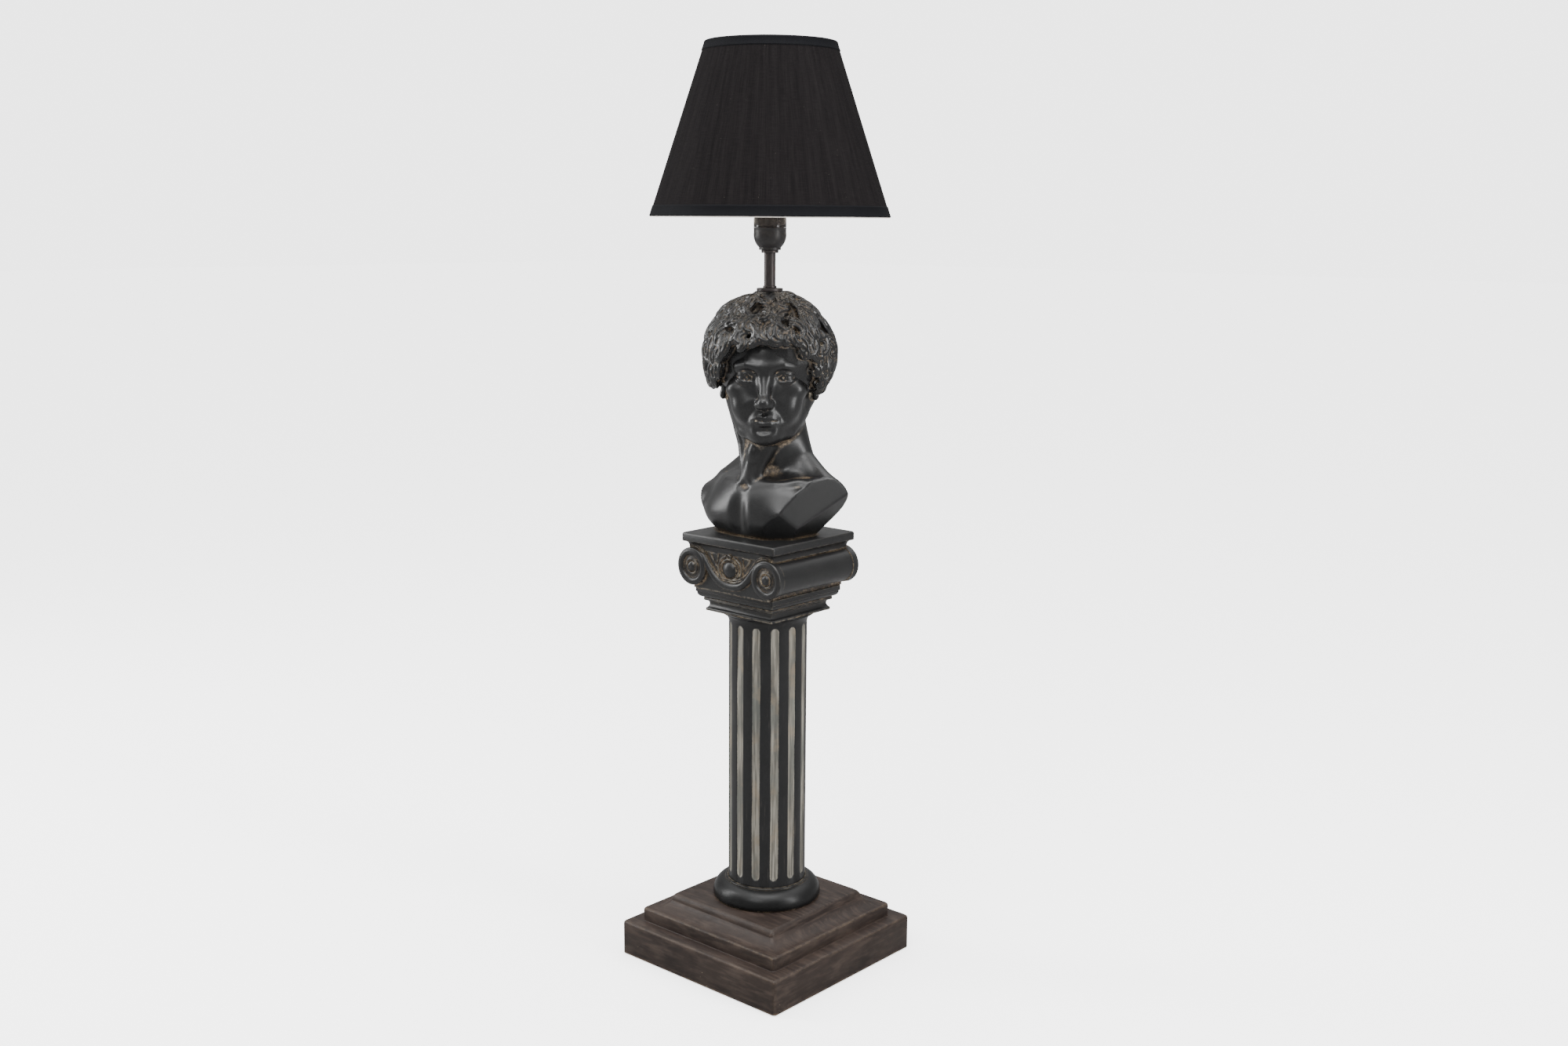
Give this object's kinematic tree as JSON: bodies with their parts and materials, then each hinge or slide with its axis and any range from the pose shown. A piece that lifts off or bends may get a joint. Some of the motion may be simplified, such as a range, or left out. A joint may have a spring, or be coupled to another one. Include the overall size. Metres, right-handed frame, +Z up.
{
  "type": "figural table lamp",
  "caption": "Figural table lamp: stepped square base, fluted column, Ionic capital, curly-haired classical bust, lampholder and tapered fabric shade on a threaded tie tube.",
  "frame": {"origin": "centre of the underside of the base, where the lamp stands", "axes": "+Z up along the tie tube; -Y out of the capital's volute face, where the chest looks; +X to the capital's rolled side, towards which the head is turned"},
  "size_m": [0.2098, 0.2092, 0.8233],
  "materials": {
    "base_brown": "satin, brushed, rubbed at the edges",
    "column_cast": "satin black cast resin, flutes brushed in light beige",
    "capital_cast": "satin charcoal cast resin, ochre in the recesses",
    "bust_cast": "satin black cast resin, bronze in the recesses",
    "bakelite": "glossy moulded black",
    "insert_ceramic": "pale moulded insert",
    "steel": "zinc plated",
    "dark_steel": "dark bronzed",
    "brass": "plain",
    "shade_cloth": "dark linen on a laminated card",
    "shade_tape": "smooth dark binding",
    "shade_lining": "matt styrene lining",
    "white_wire": "white enamel",
    "felt": "pressed felt",
    "cover_board": "matt",
    "bulb_clear": "opal",
    "bulb_metal": "bright"
  },
  "bodies": {
    "root": {"felt_pad": "felt", "bottom_cover": "cover_board", "cover_screws": "steel", "stepped_base": "base_brown", "cord_bushing": "bakelite", "tie_tube": "dark_steel", "base_washer": "steel", "base_nut": "steel", "column_foot_ring": "column_cast", "column_shaft": "column_cast", "capital": "capital_cast", "bust": "bust_cast", "crown_washer": "dark_steel", "crown_collar": "dark_steel", "holder_locknut": "dark_steel", "holder_dome": "bakelite", "holder_sleeve": "bakelite", "holder_insert": "insert_ceramic", "terminal_screws": "brass", "screw_shell": "brass", "centre_contact": "brass", "shade_ring_lower": "bakelite", "shade_ring_upper": "bakelite"},
    "shade": {"shade_fabric": "shade_cloth", "shade_liner": "shade_lining", "bottom_trim": "shade_tape", "top_trim": "shade_tape", "bottom_wire": "white_wire", "top_wire": "white_wire", "shade_spider": "white_wire"},
    "bulb": {"bulb_glass": "bulb_clear", "bulb_cap": "bulb_metal", "bulb_contact": "bulb_metal"}
  },
  "joints": [
    {"name": "shade_turn", "type": "hinge", "parent": "root", "child": "shade", "pos_m": [0, 0, 0.6874], "axis": [0, 0, 1], "continuous": true},
    {"name": "bulb_unscrew", "type": "slide", "parent": "root", "child": "bulb", "axis": [0, 0, 1], "range_m": [0, 0.03]}
  ]
}
